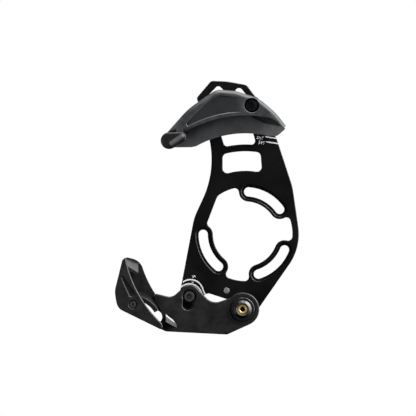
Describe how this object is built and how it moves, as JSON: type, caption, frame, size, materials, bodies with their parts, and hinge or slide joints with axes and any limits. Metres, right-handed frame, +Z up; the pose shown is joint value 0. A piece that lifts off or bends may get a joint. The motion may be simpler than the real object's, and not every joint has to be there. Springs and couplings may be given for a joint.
{
  "type": "bicycle chain guide",
  "caption": "Chain guide for a bicycle frame: a slotted plate round the bottom bracket, a sliding roofed guide over the chainring and a swinging channel guide below it.",
  "frame": {"origin": "on the bottom bracket axis, at the plate's face that meets the frame's tabs", "axes": "+X forward along the bicycle, +Y from the plate towards the frame, +Z up the mast"},
  "size_m": [0.1299, 0.0284, 0.1796],
  "materials": {
    "plate_black": "satin black anodised",
    "pin_steel": "turned steel",
    "stud_black": "blackened steel",
    "washer_plastic": "bearing plastic",
    "collar_black": "turned, black anodised",
    "insert_brass": "turned brass",
    "screw_black": "blackened steel",
    "arm_plastic": "fine moulded grain",
    "slider_plastic": "smooth moulded",
    "inner_plastic": "fine moulded grain",
    "shell_plastic": "fine moulded grain",
    "bumper_rubber": "smooth soft rubber"
  },
  "bodies": {
    "backplate": {"backplate": "plate_black", "index_pin": "pin_steel", "pivot_stud": "stud_black", "thrust_washer": "washer_plastic", "pivot_collar": "collar_black", "pivot_insert": "insert_brass", "adjuster_bolt": "screw_black", "adjuster_washer": "screw_black"},
    "lower_guide": {"lower_arm": "arm_plastic", "pivot_bush": "washer_plastic", "chain_slider": "slider_plastic", "lower_outer_plate": "arm_plastic", "outer_plate_screw": "screw_black", "screw_insert": "insert_brass"},
    "upper_guide": {"upper_inner_wall": "inner_plastic", "upper_outer_shell": "shell_plastic", "entry_bumper": "bumper_rubber", "upper_bolt": "screw_black", "upper_washer": "screw_black", "spacer_sleeve": "pin_steel", "t_nut": "stud_black"}
  },
  "joints": [
    {"name": "lower_arm_pivot", "type": "hinge", "parent": "backplate", "child": "lower_guide", "pos_m": [-0.002, -0.0075, -0.0532], "axis": [0, 1, 0], "range_deg": [0, 8.5]},
    {"name": "upper_guide_slide", "type": "slide", "parent": "backplate", "child": "upper_guide", "axis": [0, 0, 1], "range_m": [-0.0045, 0.0005]}
  ]
}
